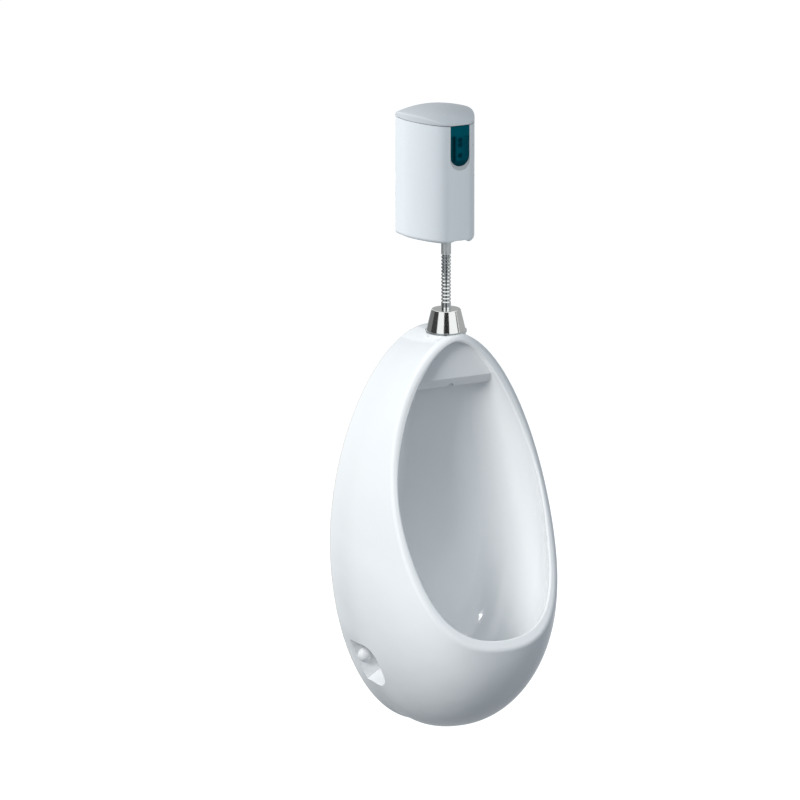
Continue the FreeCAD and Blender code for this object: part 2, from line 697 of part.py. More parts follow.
def casing_prism(inset, low, high):
    return casing_outline(inset, low).extrude(UP * (high - low))


# Straight-topped window outline with a round foot, run along the depth
def window_prism(half_width, height, near, far):
    top = SEAM_Z
    foot = top - height + half_width
    half = block(-half_width, half_width, near, far, foot, top)
    return half.fuse(peg(half_width, 0.0, near, foot, far - near)).removeSplitter()


def front_cover():
    shell = casing_prism(0.0, CASING_Z, SEAM_Z)
    low = []
    for edge in shell.Edges:
        box = edge.BoundBox
        if box.ZMax < CASING_Z + TOUCH and box.YMin < -TOUCH:
            low.append(edge)
    shell = shell.makeFillet(CASING_BOTTOM_ROUND, low)
    shell = shell.cut(casing_prism(CASING_WALL, CASING_Z + CASING_WALL, SEAM_Z))
    arch_radius = (ARCH_HALF_WIDTH ** 2 + ARCH_HEIGHT ** 2) / (2.0 * ARCH_HEIGHT)
    arch = peg(arch_radius, 0.0, CASING_DEPTH - ARCH_RUN, CASING_Z + ARCH_HEIGHT - arch_radius, OVERRUN)
    hole = post(CASING_FLOOR_HOLE, 0.0, INLET_DEPTH, CASING_Z, CASING_WALL)
    inside, past = CASING_DEPTH / 2.0, CASING_DEPTH + OVERCUT
    opening = window_prism(WINDOW_HALF_WIDTH + SEAT_FIT, WINDOW_HEIGHT + SEAT_FIT, inside, past)
    skin = casing_prism(0.0, CASING_Z, SEAM_Z).cut(casing_prism(SCOOP_DEPTH, CASING_Z, SEAM_Z))
    scoop = window_prism(WINDOW_HALF_WIDTH, WINDOW_HEIGHT + SCOOP_DROP, inside, past)
    for cut in (arch, hole, opening, skin.common(scoop)):
        shell = shell.cut(cut)
    for side in (-1.0, 1.0):
        x = side * COVER_SCREW_SPACING / 2.0
        depth = PLATE_THICKNESS + PLATE_TAB_DEPTH / 2.0
        shell = shell.cut(post(COVER_SCREW_RADIUS + SEAT_FIT, x, depth, CASING_Z, CASING_WALL))
    return shell


def lid_dome(inset, low):
    centre = at(0.0, LID_CROWN_DEPTH, SEAM_Z + LID_CROWN - LID_DOME_RADIUS)
    ball = Part.makeSphere(LID_DOME_RADIUS - inset, centre)
    return casing_prism(inset, low, SEAM_Z + LID_CROWN).common(ball)


def lid():
    low = SEAM_Z + SEAM_GAP
    shell = lid_dome(0.0, low)
    top = []
    for edge in shell.Edges:
        box = edge.BoundBox
        if box.ZMin > low + TOUCH and box.YMin < -TOUCH:
            top.append(edge)
    shell = shell.makeFillet(LID_EDGE_ROUND, top)
    hollow = lid_dome(CASING_WALL, low)
    foot = SEAM_Z - LID_SKIRT_HEIGHT
    gap = CASING_WALL + SLIDE_FIT
    skirt = casing_prism(gap, foot, low + LID_SKIRT_WALL)
    skirt = skirt.cut(casing_prism(gap + LID_SKIRT_WALL, foot, low + LID_SKIRT_WALL))
    half = CASING_HALF_WIDTH
    window = block(-half, half, CASING_DEPTH / 2.0, CASING_DEPTH, foot, low)
    back = block(-half, half, 0.0, PLATE_THICKNESS + SLIDE_FIT, foot, low)
    return shell.cut(hollow).fuse(skirt.cut(window).cut(back)).removeSplitter()


def sensor_window():
    pane = window_prism(WINDOW_HALF_WIDTH, WINDOW_HEIGHT, CASING_DEPTH / 2.0, CASING_DEPTH)
    layer = casing_prism(WINDOW_SET_BACK, CASING_Z, SEAM_Z)
    layer = layer.cut(casing_prism(WINDOW_SET_BACK + WINDOW_THICKNESS, CASING_Z, SEAM_Z))
    return pane.common(layer)


def holder_depths():
    far = CASING_DEPTH - CASING_FRONT_SAG - WINDOW_SET_BACK - WINDOW_THICKNESS - HOLDER_GAP
    return far - HOLDER_DEPTH, far


def sensor_holder():
    near, far = holder_depths()
    half = WINDOW_HALF_WIDTH
    low = SEAM_Z - HOLDER_FOOT_DROP
    high = SEAM_Z - HOLDER_TOP_DROP
    tray = block(-half, half, near, far, low, high)
    room = block(
        -half + HOLDER_WALL, half - HOLDER_WALL, near, far - HOLDER_WALL, low + HOLDER_WALL, high - HOLDER_WALL)
    tray = tray.cut(room)
    for drop, radius in ((EYE_DROP_UPPER, EYE_RADIUS), (EYE_DROP_LOWER, EYE_RADIUS), (STATUS_DROP, STATUS_RADIUS)):
        tray = tray.cut(peg(radius + SEAT_FIT, 0.0, near, SEAM_Z - drop, HOLDER_DEPTH))
    return tray


def sensor_board():
    near = holder_depths()[0]
    half = WINDOW_HALF_WIDTH - HOLDER_WALL - SEAT_FIT
    low = SEAM_Z - HOLDER_FOOT_DROP + HOLDER_WALL + SEAT_FIT
    high = SEAM_Z - HOLDER_TOP_DROP - HOLDER_WALL - SEAT_FIT
    return block(-half, half, near, near + BOARD_THICKNESS, low, high)


def sensor_eye(radius, drop):
    near = holder_depths()[0] + BOARD_THICKNESS
    body = peg(radius, 0.0, near, SEAM_Z - drop, EYE_LENGTH - radius)
    return join(body, Part.makeSphere(radius, at(0.0, near + EYE_LENGTH - radius, SEAM_Z - drop)))


def back_plate():
    half = CASING_HALF_WIDTH - CASING_WALL - SLIDE_FIT
    low = CASING_Z + CASING_WALL + SEAT_FIT
    plate = block(-half, half, 0.0, PLATE_THICKNESS, low, SEAM_Z - LID_SKIRT_HEIGHT)
    cuts = [peg(NIPPLE_RADIUS + PLATE_INLET_ROOM, 0.0, 0.0, VALVE_Z, PLATE_THICKNESS)]
    middle = plate_middle()
    for side in (-1.0, 1.0):
        x = side * COVER_SCREW_SPACING / 2.0
        far = PLATE_THICKNESS + PLATE_TAB_DEPTH
        wide = PLATE_TAB_HALF_WIDTH
        tab = block(x - wide, x + wide, 0.0, far, low, low + PLATE_TAB_HEIGHT)
        plate = plate.fuse(tab)
        depth = PLATE_THICKNESS + PLATE_TAB_DEPTH / 2.0
        cuts.append(post(COVER_SCREW_RADIUS + FIT, x, depth, low, COVER_SCREW_LENGTH))
        for level in (-1.0, 1.0):
            hole_z = middle + level * PLATE_HOLE_SPACING_Z / 2.0
            cuts.append(peg(PLATE_HOLE_RADIUS, side * PLATE_HOLE_SPACING_X / 2.0, 0.0, hole_z, PLATE_THICKNESS))
    return plate.removeSplitter().cut(Part.makeCompound(cuts))


def plate_middle():
    return CASING_Z + CASING_HEIGHT / 2.0


def cover_screw(side):
    x = side * COVER_SCREW_SPACING / 2.0
    depth = PLATE_THICKNESS + PLATE_TAB_DEPTH / 2.0
    head = post(COVER_SCREW_HEAD_RADIUS, x, depth, CASING_Z - COVER_SCREW_HEAD_HEIGHT, COVER_SCREW_HEAD_HEIGHT)
    return join(head, post(COVER_SCREW_RADIUS, x, depth, CASING_Z, COVER_SCREW_LENGTH))


def battery_levels():
    high = SEAM_Z - BATTERY_TOP_GAP
    low = high - CELL_LENGTH - CELL_NIB_HEIGHT - BATTERY_WALL
    return low, high


def cell_step():
    return 2.0 * CELL_RADIUS + SLIDE_FIT


def cell_depth():
    return PLATE_THICKNESS + BATTERY_WALL + SEAT_FIT + CELL_RADIUS


def battery_holder():
    low, high = battery_levels()
    half = CELL_COUNT * cell_step() / 2.0 + BATTERY_WALL
    far = cell_depth() + CELL_RADIUS + SEAT_FIT + BATTERY_WALL
    box = block(-half, half, PLATE_THICKNESS, far, low, high)
    inner = half - BATTERY_WALL
    return box.cut(block(-inner, inner, PLATE_THICKNESS + BATTERY_WALL, far - BATTERY_WALL, low + BATTERY_WALL, high))


def cell(index):
    low = battery_levels()[0] + BATTERY_WALL
    x = (index - (CELL_COUNT - 1) / 2.0) * cell_step()
    nib = post(CELL_NIB_RADIUS, x, cell_depth(), low + CELL_LENGTH, CELL_NIB_HEIGHT)
    return join(post(CELL_RADIUS, x, cell_depth(), low, CELL_LENGTH), nib)


def inlet_nipple():
    thread = peg(NIPPLE_RADIUS, 0.0, -NIPPLE_STANDOUT, VALVE_Z, NIPPLE_STANDOUT + PLATE_THICKNESS)
    flange = peg(NIPPLE_FLANGE_RADIUS, 0.0, PLATE_THICKNESS, VALVE_Z, NIPPLE_FLANGE_THICKNESS)
    length = NIPPLE_STANDOUT + PLATE_THICKNESS + NIPPLE_FLANGE_THICKNESS
    return join(thread, flange).cut(peg(NIPPLE_BORE_RADIUS, 0.0, -NIPPLE_STANDOUT, VALVE_Z, length))


def nipple_seal():
    near = PLATE_THICKNESS + NIPPLE_FLANGE_THICKNESS
    ring = peg(NIPPLE_FLANGE_RADIUS, 0.0, near, VALVE_Z, NIPPLE_SEAL_THICKNESS)
    return ring.cut(peg(NIPPLE_BORE_RADIUS, 0.0, near, VALVE_Z, NIPPLE_SEAL_THICKNESS))


def inlet_filter():
    far = PLATE_THICKNESS + NIPPLE_FLANGE_THICKNESS
    cup = peg(NIPPLE_BORE_RADIUS - FIT, 0.0, far - FILTER_LENGTH, VALVE_Z, FILTER_LENGTH)
    room = peg(NIPPLE_BORE_RADIUS - FIT - FILTER_WALL, 0.0, far - FILTER_LENGTH + FILTER_WALL, VALVE_Z, FILTER_LENGTH)
    return cup.cut(room)


def valve_body():
    half = VALVE_HALF_WIDTH
    low = VALVE_Z - VALVE_HALF_HEIGHT
    body = block(-half, half, VALVE_BACK, VALVE_FRONT, low, VALVE_TOP_Z)
    stub = post(STUB_RADIUS, 0.0, INLET_DEPTH, STUB_Z, STUB_LENGTH)
    body = join(body, stub)
    ring = post(CHAMBER_RADIUS, 0.0, INLET_DEPTH, VALVE_Z - CHAMBER_BELOW, VALVE_TOP_Z - VALVE_Z + CHAMBER_BELOW)
    seat = post(SEAT_RADIUS, 0.0, INLET_DEPTH, VALVE_Z - CHAMBER_BELOW, SEAT_ABOVE + CHAMBER_BELOW)
    outlet = post(PASSAGE_RADIUS, 0.0, INLET_DEPTH, STUB_Z, SEAT_Z - STUB_Z)
    reach = INLET_DEPTH - CHAMBER_RADIUS - VALVE_BACK + OVERCUT
    feed = peg(PASSAGE_RADIUS, 0.0, VALVE_BACK, VALVE_Z, reach)
    plug = Part.makeCylinder(STOP_RADIUS + FIT, half + STOP_INSIDE, at(-STOP_INSIDE, STOP_DEPTH, VALVE_Z), RIGHT)
    cuts = [ring.cut(seat), outlet, feed, plug]
    for x, depth in bonnet_screw_places():
        depth_in = BONNET_SCREW_LENGTH - BONNET_HEIGHT - BONNET_GASKET_THICKNESS
        cuts.append(post(BONNET_SCREW_RADIUS + FIT, x, depth, VALVE_TOP_Z - depth_in, depth_in))
    for cut in cuts:
        body = body.cut(cut)
    return body


def bonnet_screw_places():
    offset = BONNET_SCREW_OFFSET
    return [(x * offset, INLET_DEPTH + d * offset) for x in (-1.0, 1.0) for d in (-1.0, 1.0)]


# Quarter-turn stop plug, turned from the right with a screwdriver
def stop_plug():
    start = at(-STOP_INSIDE + FIT, STOP_DEPTH, VALVE_Z)
    barrel = Part.makeCylinder(STOP_RADIUS, VALVE_HALF_WIDTH + STOP_INSIDE - FIT, start, RIGHT)
    face = VALVE_HALF_WIDTH + STOP_HEAD_LENGTH
    head = Part.makeCylinder(STOP_HEAD_RADIUS, STOP_HEAD_LENGTH, at(VALVE_HALF_WIDTH, STOP_DEPTH, VALVE_Z), RIGHT)
    plug = join(barrel, head)
    plug = plug.cut(peg(PASSAGE_RADIUS, 0.0, STOP_DEPTH - STOP_RADIUS, VALVE_Z, 2.0 * STOP_RADIUS))
    slot = block(
        face - STOP_SLOT_DEPTH, face, STOP_DEPTH - STOP_RADIUS, STOP_DEPTH + STOP_RADIUS,
        VALVE_Z - STOP_SLOT_WIDTH / 2.0, VALVE_Z + STOP_SLOT_WIDTH / 2.0)
    return plug.cut(slot)


def bonnet_gasket():
    half = VALVE_HALF_WIDTH
    sheet = block(-half, half, INLET_DEPTH - half, INLET_DEPTH + half, VALVE_TOP_Z, BONNET_Z)
    cuts = [post(CHAMBER_RADIUS, 0.0, INLET_DEPTH, VALVE_TOP_Z, BONNET_GASKET_THICKNESS)]
    for x, depth in bonnet_screw_places():
        cuts.append(post(BONNET_SCREW_RADIUS + FIT, x, depth, VALVE_TOP_Z, BONNET_GASKET_THICKNESS))
    return sheet.cut(Part.makeCompound(cuts))


def valve_washer():
    return post(VALVE_WASHER_RADIUS, 0.0, INLET_DEPTH, SEAT_Z + FIT, VALVE_WASHER_THICKNESS)


def piston():
    return post(PISTON_RADIUS, 0.0, INLET_DEPTH, SEAT_Z + FIT + VALVE_WASHER_THICKNESS, PISTON_HEIGHT)


def bonnet():
    half = VALVE_HALF_WIDTH
    body = block(-half, half, INLET_DEPTH - half, INLET_DEPTH + half, BONNET_Z, BONNET_TOP_Z)
    cuts = [post(PISTON_RADIUS + SLIDE_FIT, 0.0, INLET_DEPTH, BONNET_Z, BONNET_BORE_DEPTH)]
    cuts.append(post(CORE_BORE_RADIUS, 0.0, INLET_DEPTH, BONNET_Z, BONNET_HEIGHT))
    for x, depth in bonnet_screw_places():
        cuts.append(post(BONNET_SCREW_RADIUS + FIT, x, depth, BONNET_Z, BONNET_HEIGHT))
    for cut in cuts:
        body = body.cut(cut)
    return body


def bonnet_screw(x, depth):
    shank = post(BONNET_SCREW_RADIUS, x, depth, BONNET_TOP_Z - BONNET_SCREW_LENGTH, BONNET_SCREW_LENGTH)
    return join(shank, post(BONNET_SCREW_HEAD_RADIUS, x, depth, BONNET_TOP_Z, BONNET_SCREW_HEAD_HEIGHT))


def core_tube():
    tube = post(CORE_RADIUS, 0.0, INLET_DEPTH, BONNET_TOP_Z, CORE_HEIGHT)
    return tube.cut(post(CORE_BORE_RADIUS, 0.0, INLET_DEPTH, BONNET_TOP_Z, CORE_HEIGHT - CORE_ROOF))


def coil():
    return pipe(COIL_RADIUS, CORE_RADIUS + FIT, 0.0, INLET_DEPTH, BONNET_TOP_Z, COIL_HEIGHT)


def coil_yoke():
    half = YOKE_HALF_WIDTH
    low = BONNET_TOP_Z + COIL_HEIGHT
    plate = block(-half, half, INLET_DEPTH - half, INLET_DEPTH + half, low, low + YOKE_THICKNESS)
    return plate.cut(post(CORE_RADIUS + FIT, 0.0, INLET_DEPTH, low, YOKE_THICKNESS))


def plunger_base():
    return BONNET_Z + BONNET_BORE_DEPTH + SEAT_FIT


def plunger():
    return post(PLUNGER_RADIUS, 0.0, INLET_DEPTH, plunger_base(), PLUNGER_LENGTH)


def plunger_spring():
    low = plunger_base() + PLUNGER_LENGTH
    high = BONNET_TOP_Z + CORE_HEIGHT - CORE_ROOF
    return pipe(SPRING_RADIUS, SPRING_RADIUS - SPRING_WALL, 0.0, INLET_DEPTH, low, high - low)


os.makedirs("parts", exist_ok=True)
SIDES = (-1.0, 1.0)
save("bowl", bowl())
save("strainer", strainer())
save("outlet_flange", outlet_flange())
save("outlet_gasket", outlet_gasket())
save("hanger_brackets", *[hanger(side) for side in SIDES])
save("cap_washers", *[cap_washer(side) for side in SIDES])
save("left_cap", cap(-1.0))
save("right_cap", cap(1.0))
save("inlet_spud", inlet_spud())
save("spud_cover", spud_cover())
save("flush_tube", flush_tube())
save("tube_washer", tube_washer())
save("tube_nut", tube_nut())
save("front_cover", front_cover())
save("lid", lid())
save("sensor_window", sensor_window())
save("sensor_holder", sensor_holder())
save("sensor_board", sensor_board())
save("ir_emitter", sensor_eye(EYE_RADIUS, EYE_DROP_UPPER))
save("ir_receiver", sensor_eye(EYE_RADIUS, EYE_DROP_LOWER))
save("status_light", sensor_eye(STATUS_RADIUS, STATUS_DROP))
save("back_plate", back_plate())
save("cover_screws", *[cover_screw(side) for side in SIDES])
save("battery_holder", battery_holder())
save("battery_cells", *[cell(index) for index in range(CELL_COUNT)])
save("inlet_nipple", inlet_nipple())
save("nipple_seal", nipple_seal())
save("inlet_filter", inlet_filter())
save("valve_body", valve_body())
save("stop_plug", stop_plug())
save("bonnet_gasket", bonnet_gasket())
save("valve_washer", valve_washer())
save("piston", piston())
save("bonnet", bonnet())
save("bonnet_screws", *[bonnet_screw(*place) for place in bonnet_screw_places()])
save("core_tube", core_tube())
save("coil", coil())
save("coil_yoke", coil_yoke())
save("plunger", plunger())
save("plunger_spring", plunger_spring())
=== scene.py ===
import bpy
import math
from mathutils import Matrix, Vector


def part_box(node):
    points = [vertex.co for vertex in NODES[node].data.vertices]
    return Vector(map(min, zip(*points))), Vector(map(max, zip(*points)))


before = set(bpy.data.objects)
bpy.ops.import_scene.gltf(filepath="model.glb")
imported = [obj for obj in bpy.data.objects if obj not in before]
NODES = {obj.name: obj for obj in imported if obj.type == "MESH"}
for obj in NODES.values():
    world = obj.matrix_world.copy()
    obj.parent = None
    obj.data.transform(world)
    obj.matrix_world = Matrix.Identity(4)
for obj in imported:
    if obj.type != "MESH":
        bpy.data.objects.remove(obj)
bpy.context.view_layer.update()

# Camera: metres, degrees from the front to the right and upwards, millimetres of lens and sensor
CAMERA_TARGET = Vector((-0.0585, -0.0376, 0.3766))
CAMERA_AZIMUTH = -28.0
CAMERA_ELEVATION = 14.0
CAMERA_DISTANCE = 12.0
CAMERA_SIGHT = 60.0
CAMERA_LENS = 432.0
CAMERA_SENSOR = 36.0

# World and floor: metres, colours, and strengths where 1 shows as white
AMBIENT_COLOUR = (0.8, 0.91, 1.0, 1.0)
AMBIENT_STRENGTH = 0.47
WHITE = (1.0, 1.0, 1.0, 1.0)
WORLD_MIRRORED = 1.0
FLOOR_LEVEL = -0.52
FLOOR_HALF = 30.0
FLOOR_COLOUR = (0.2, 0.215, 0.23, 1.0)
FLOOR_LIFT = 0.93
FLOOR_MIRRORED = 0.25

# Lamps: the points they aim at, in metres
LAMP_COLOUR = (1.0, 0.99, 0.98)
BOWL_AIM = (0.0, -0.1, 0.3)
BASIN_AIM = (0.0, -0.1, 0.1)
BOX_AIM = (0.0, -0.04, 0.65)
BOX_NODES = ("front_cover", "lid")

# Cards for the mirrors: metres, then start, end and grey of each, in degrees from the front to the right
FLAG_STEPS = 12
FLAG_DISTANCE = 3.6
FLAG_FOOT = -0.4
FLAG_HEAD = 3.4
FLAGS = {
    "flag_back_left": (-175.0, -126.0, 0.2),
    "flag_left": (-126.0, -84.0, 0.05),
    "flag_front": (-41.0, -8.0, 0.03),
    "flag_right": (46.0, 54.0, 0.08),
    "flag_back_right": (58.0, 164.0, 0.42),
}

# Marks in the finishes: metres, a drop from a piece's top or a rise from its foot, and half the soft edge
CLAY_DEPTH = 0.0012
CLAY_SOFT = 0.0004
# Painted shade in the casing's hollow under the window: rise from the window's foot, radius and soft edge
HOLLOW_SHADE_RISE = 0.0082
HOLLOW_SHADE_RADIUS = 0.0136
HOLLOW_SHADE_SOFT = 0.0007
WINDOW_BAND_DROP = 0.0125
WINDOW_BAND_SOFT = 0.0015
WINDOW_FOOT_RISE = 0.007
WINDOW_FOOT_SOFT = 0.003
EYE_DROPS = (0.018, 0.024, 0.0375)
EYE_RADIUS = 0.0034
EYE_SOFT = 0.0014
TUBE_PLAIN_DROP = 0.03
TUBE_PLAIN_SOFT = 0.0005
CELL_BAND_DROP = 0.0123
CELL_BAND_SOFT = 0.0002
CELL_NIB_DROP = 0.0018
CELL_NIB_SOFT = 0.0001

# Roughness added on bare clay and satin chrome, spread of it on plastic, and how metallic a cell's nib is
CLAY_ROUGHNESS = 0.6
TUBE_SATIN = 0.45
PLASTIC_SPREAD = 0.03
CELL_NIB_METAL = 0.9

# Most values of a noise texture lie between these
NOISE_LOW = 0.3
NOISE_HIGH = 0.7

# Places of the colour sockets on a Mix node, whose names repeat for its other kinds
MIX_FIRST = 6
MIX_SECOND = 7
MIX_RESULT = 2


# Unit vector from the part towards an azimuth, from the front to the right, and an elevation
def direction(azimuth, elevation):
    turn = math.radians(azimuth)
    rise = math.radians(elevation)
    return Vector((math.sin(turn) * math.cos(rise), -math.cos(turn) * math.cos(rise), math.sin(rise)))


def link(tree, source, target):
    tree.links.new(source, target)


# Values for a node's sockets, named with underscores for spaces
def fill(node, sockets):
    for name, value in sockets.items():
        node.inputs[name.replace("_", " ")].default_value = value


# Math node on numbers and sockets
def combine(tree, operation, *values):
    step = tree.nodes.new("ShaderNodeMath")
    step.operation = operation
    for socket, value in zip(step.inputs, values):
        if isinstance(value, float):
            socket.default_value = value
        else:
            link(tree, value, socket)
    return step.outputs[0]


# Camera at the photograph's angle, far off with a long lens
def make_camera():
    back = direction(CAMERA_AZIMUTH, CAMERA_ELEVATION)
    data = bpy.data.cameras.new("camera")
    data.lens = CAMERA_LENS
    data.sensor_width = CAMERA_SENSOR
    data.clip_end = CAMERA_SIGHT
    camera = bpy.data.objects.new("camera", data)
    camera.location = CAMERA_TARGET + back * CAMERA_DISTANCE
    camera.rotation_mode = "QUATERNION"
    camera.rotation_quaternion = (-back).to_track_quat("-Z", "Y")
    bpy.context.scene.collection.objects.link(camera)
    bpy.context.scene.camera = camera


def area_light(name, place, aim, size, watts, mirrored=False):
    data = bpy.data.lights.new(name, "AREA")
    data.shape = "RECTANGLE"
    data.size, data.size_y = size
    data.energy = watts
    data.color = LAMP_COLOUR
    # Sampled in one way only, so that lamps with a reach give the same light in each run
    data.cycles.use_multiple_importance_sampling = False
    lamp = bpy.data.objects.new(name, data)
    lamp.location = place
    lamp.rotation_mode = "QUATERNION"
    lamp.rotation_quaternion = (Vector(aim) - Vector(place)).to_track_quat("-Z", "Y")
    lamp.visible_camera = False
    lamp.visible_glossy = mirrored
    bpy.context.scene.collection.objects.link(lamp)
    return lamp


# Let a lamp light only the named nodes, with INCLUDE, or all but them, with EXCLUDE
def reach(lamp, state, *nodes):
    group = bpy.data.collections.new(lamp.name + "_reach")
    for node in nodes:
        group.objects.link(NODES[node])
    for entry in group.collection_objects:
        entry.light_linking.link_state = state
    lamp.light_linking.receiver_collection = group


# Bowl and box are lit apart, so that each has its own bright side
def make_lamps():
    key = area_light("key", place=(-2.84, -1.08, 1.9), aim=BOWL_AIM, size=(1.0, 1.2), watts=91.0)
    reach(key, "EXCLUDE", *BOX_NODES, "sensor_window")
    area_light("fill", place=(2.77, 1.84, 0.71), aim=BOWL_AIM, size=(1.6, 1.6), watts=60.0)
    glint = area_light(
        "glint", place=(-0.72, -2.81, 0.97), aim=BASIN_AIM, size=(0.2, 0.35), watts=4.5, mirrored=True)
    reach(glint, "INCLUDE", "bowl")
    side = area_light("box_side", place=(-2.37, 1.99, 1.48), aim=BOX_AIM, size=(1.0, 1.2), watts=125.0)
    reach(side, "INCLUDE", *BOX_NODES)
    front = area_light("box_front", place=(-0.8, -3.0, 1.7), aim=BOX_AIM, size=(1.2, 1.2), watts=41.0)
    reach(front, "INCLUDE", *BOX_NODES)


# 1 for a ray from the camera or through clear plastic, and the given share for one from a mirror
def seen_directly(tree, mirrored):
    path = tree.nodes.new("ShaderNodeLightPath").outputs
    straight = combine(tree, "MAXIMUM", path["Is Camera Ray"], path["Is Transmission Ray"])
    return combine(tree, "MAXIMUM", straight, combine(tree, "MULTIPLY", path["Is Glossy Ray"], mirrored))


# White to look at and in mirrors, but a dim blue-white light on the object
def make_world():
    world = bpy.data.worlds.new("studio")
    world.use_nodes = True
    tree = world.node_tree
    ambient = tree.nodes["Background"]
    fill(ambient, {"Color": AMBIENT_COLOUR, "Strength": AMBIENT_STRENGTH})
    white = tree.nodes.new("ShaderNodeBackground")
    fill(white, {"Color": WHITE, "Strength": 1.0})
    mix = tree.nodes.new("ShaderNodeMixShader")
    link(tree, seen_directly(tree, WORLD_MIRRORED), mix.inputs["Fac"])
    link(tree, ambient.outputs[0], mix.inputs[1])
    link(tree, white.outputs[0], mix.inputs[2])
    link(tree, mix.outputs[0], tree.nodes["World Output"].inputs["Surface"])
    bpy.context.scene.world = world


def new_mesh(name, points, faces):
    mesh = bpy.data.meshes.new(name)
    mesh.from_pydata(points, [], faces)
    mesh.update()
    thing = bpy.data.objects.new(name, mesh)
    bpy.context.scene.collection.objects.link(thing)
    return thing


# Node tree of a new material that has no shader yet
def empty_material(thing, name):
    material = bpy.data.materials.new(name)
    material.use_nodes = True
    material.node_tree.nodes.remove(material.node_tree.nodes["Principled BSDF"])
    thing.data.materials.append(material)
    return material.node_tree


# Pale floor as far below the bowl as such a bowl hangs
def make_floor():
    sides = ((-1, -1), (1, -1), (1, 1), (-1, 1))
    corners = [(FLOOR_HALF * right, FLOOR_HALF * back, FLOOR_LEVEL) for right, back in sides]
    floor = new_mesh("floor", corners, [(0, 1, 2, 3)])
    tree = empty_material(floor, "floor_pale")
    diffuse = tree.nodes.new("ShaderNodeBsdfDiffuse")
    fill(diffuse, {"Color": FLOOR_COLOUR})
    glow = tree.nodes.new("ShaderNodeEmission")
    lift = combine(tree, "MULTIPLY", seen_directly(tree, FLOOR_MIRRORED), FLOOR_LIFT)
    link(tree, lift, glow.inputs["Strength"])
    both = tree.nodes.new("ShaderNodeAddShader")
    link(tree, diffuse.outputs[0], both.inputs[0])
    link(tree, glow.outputs[0], both.inputs[1])
    link(tree, both.outputs[0], tree.nodes["Material Output"].inputs["Surface"])


# Studio flag that only mirrors see: a curved upright card between two azimuths
def flag(name, start, end, grey):
    points, faces = [], []
    for step in range(FLAG_STEPS + 1):
        foot = direction(start + (end - start) * step / FLAG_STEPS, 0.0) * FLAG_DISTANCE
        points += [(foot.x, foot.y, FLAG_FOOT), (foot.x, foot.y, FLAG_HEAD)]
    for step in range(FLAG_STEPS):
        faces.append((2 * step, 2 * step + 2, 2 * step + 3, 2 * step + 1))
    card = new_mesh(name, points, faces)
    tree = empty_material(card, name)
    glow = tree.nodes.new("ShaderNodeEmission")
    fill(glow, {"Color": (grey, grey, grey, 1.0)})
    link(tree, glow.outputs[0], tree.nodes["Material Output"].inputs["Surface"])
    card.visible_camera = False
    card.visible_diffuse = False
    card.visible_shadow = False
    card.visible_transmission = False


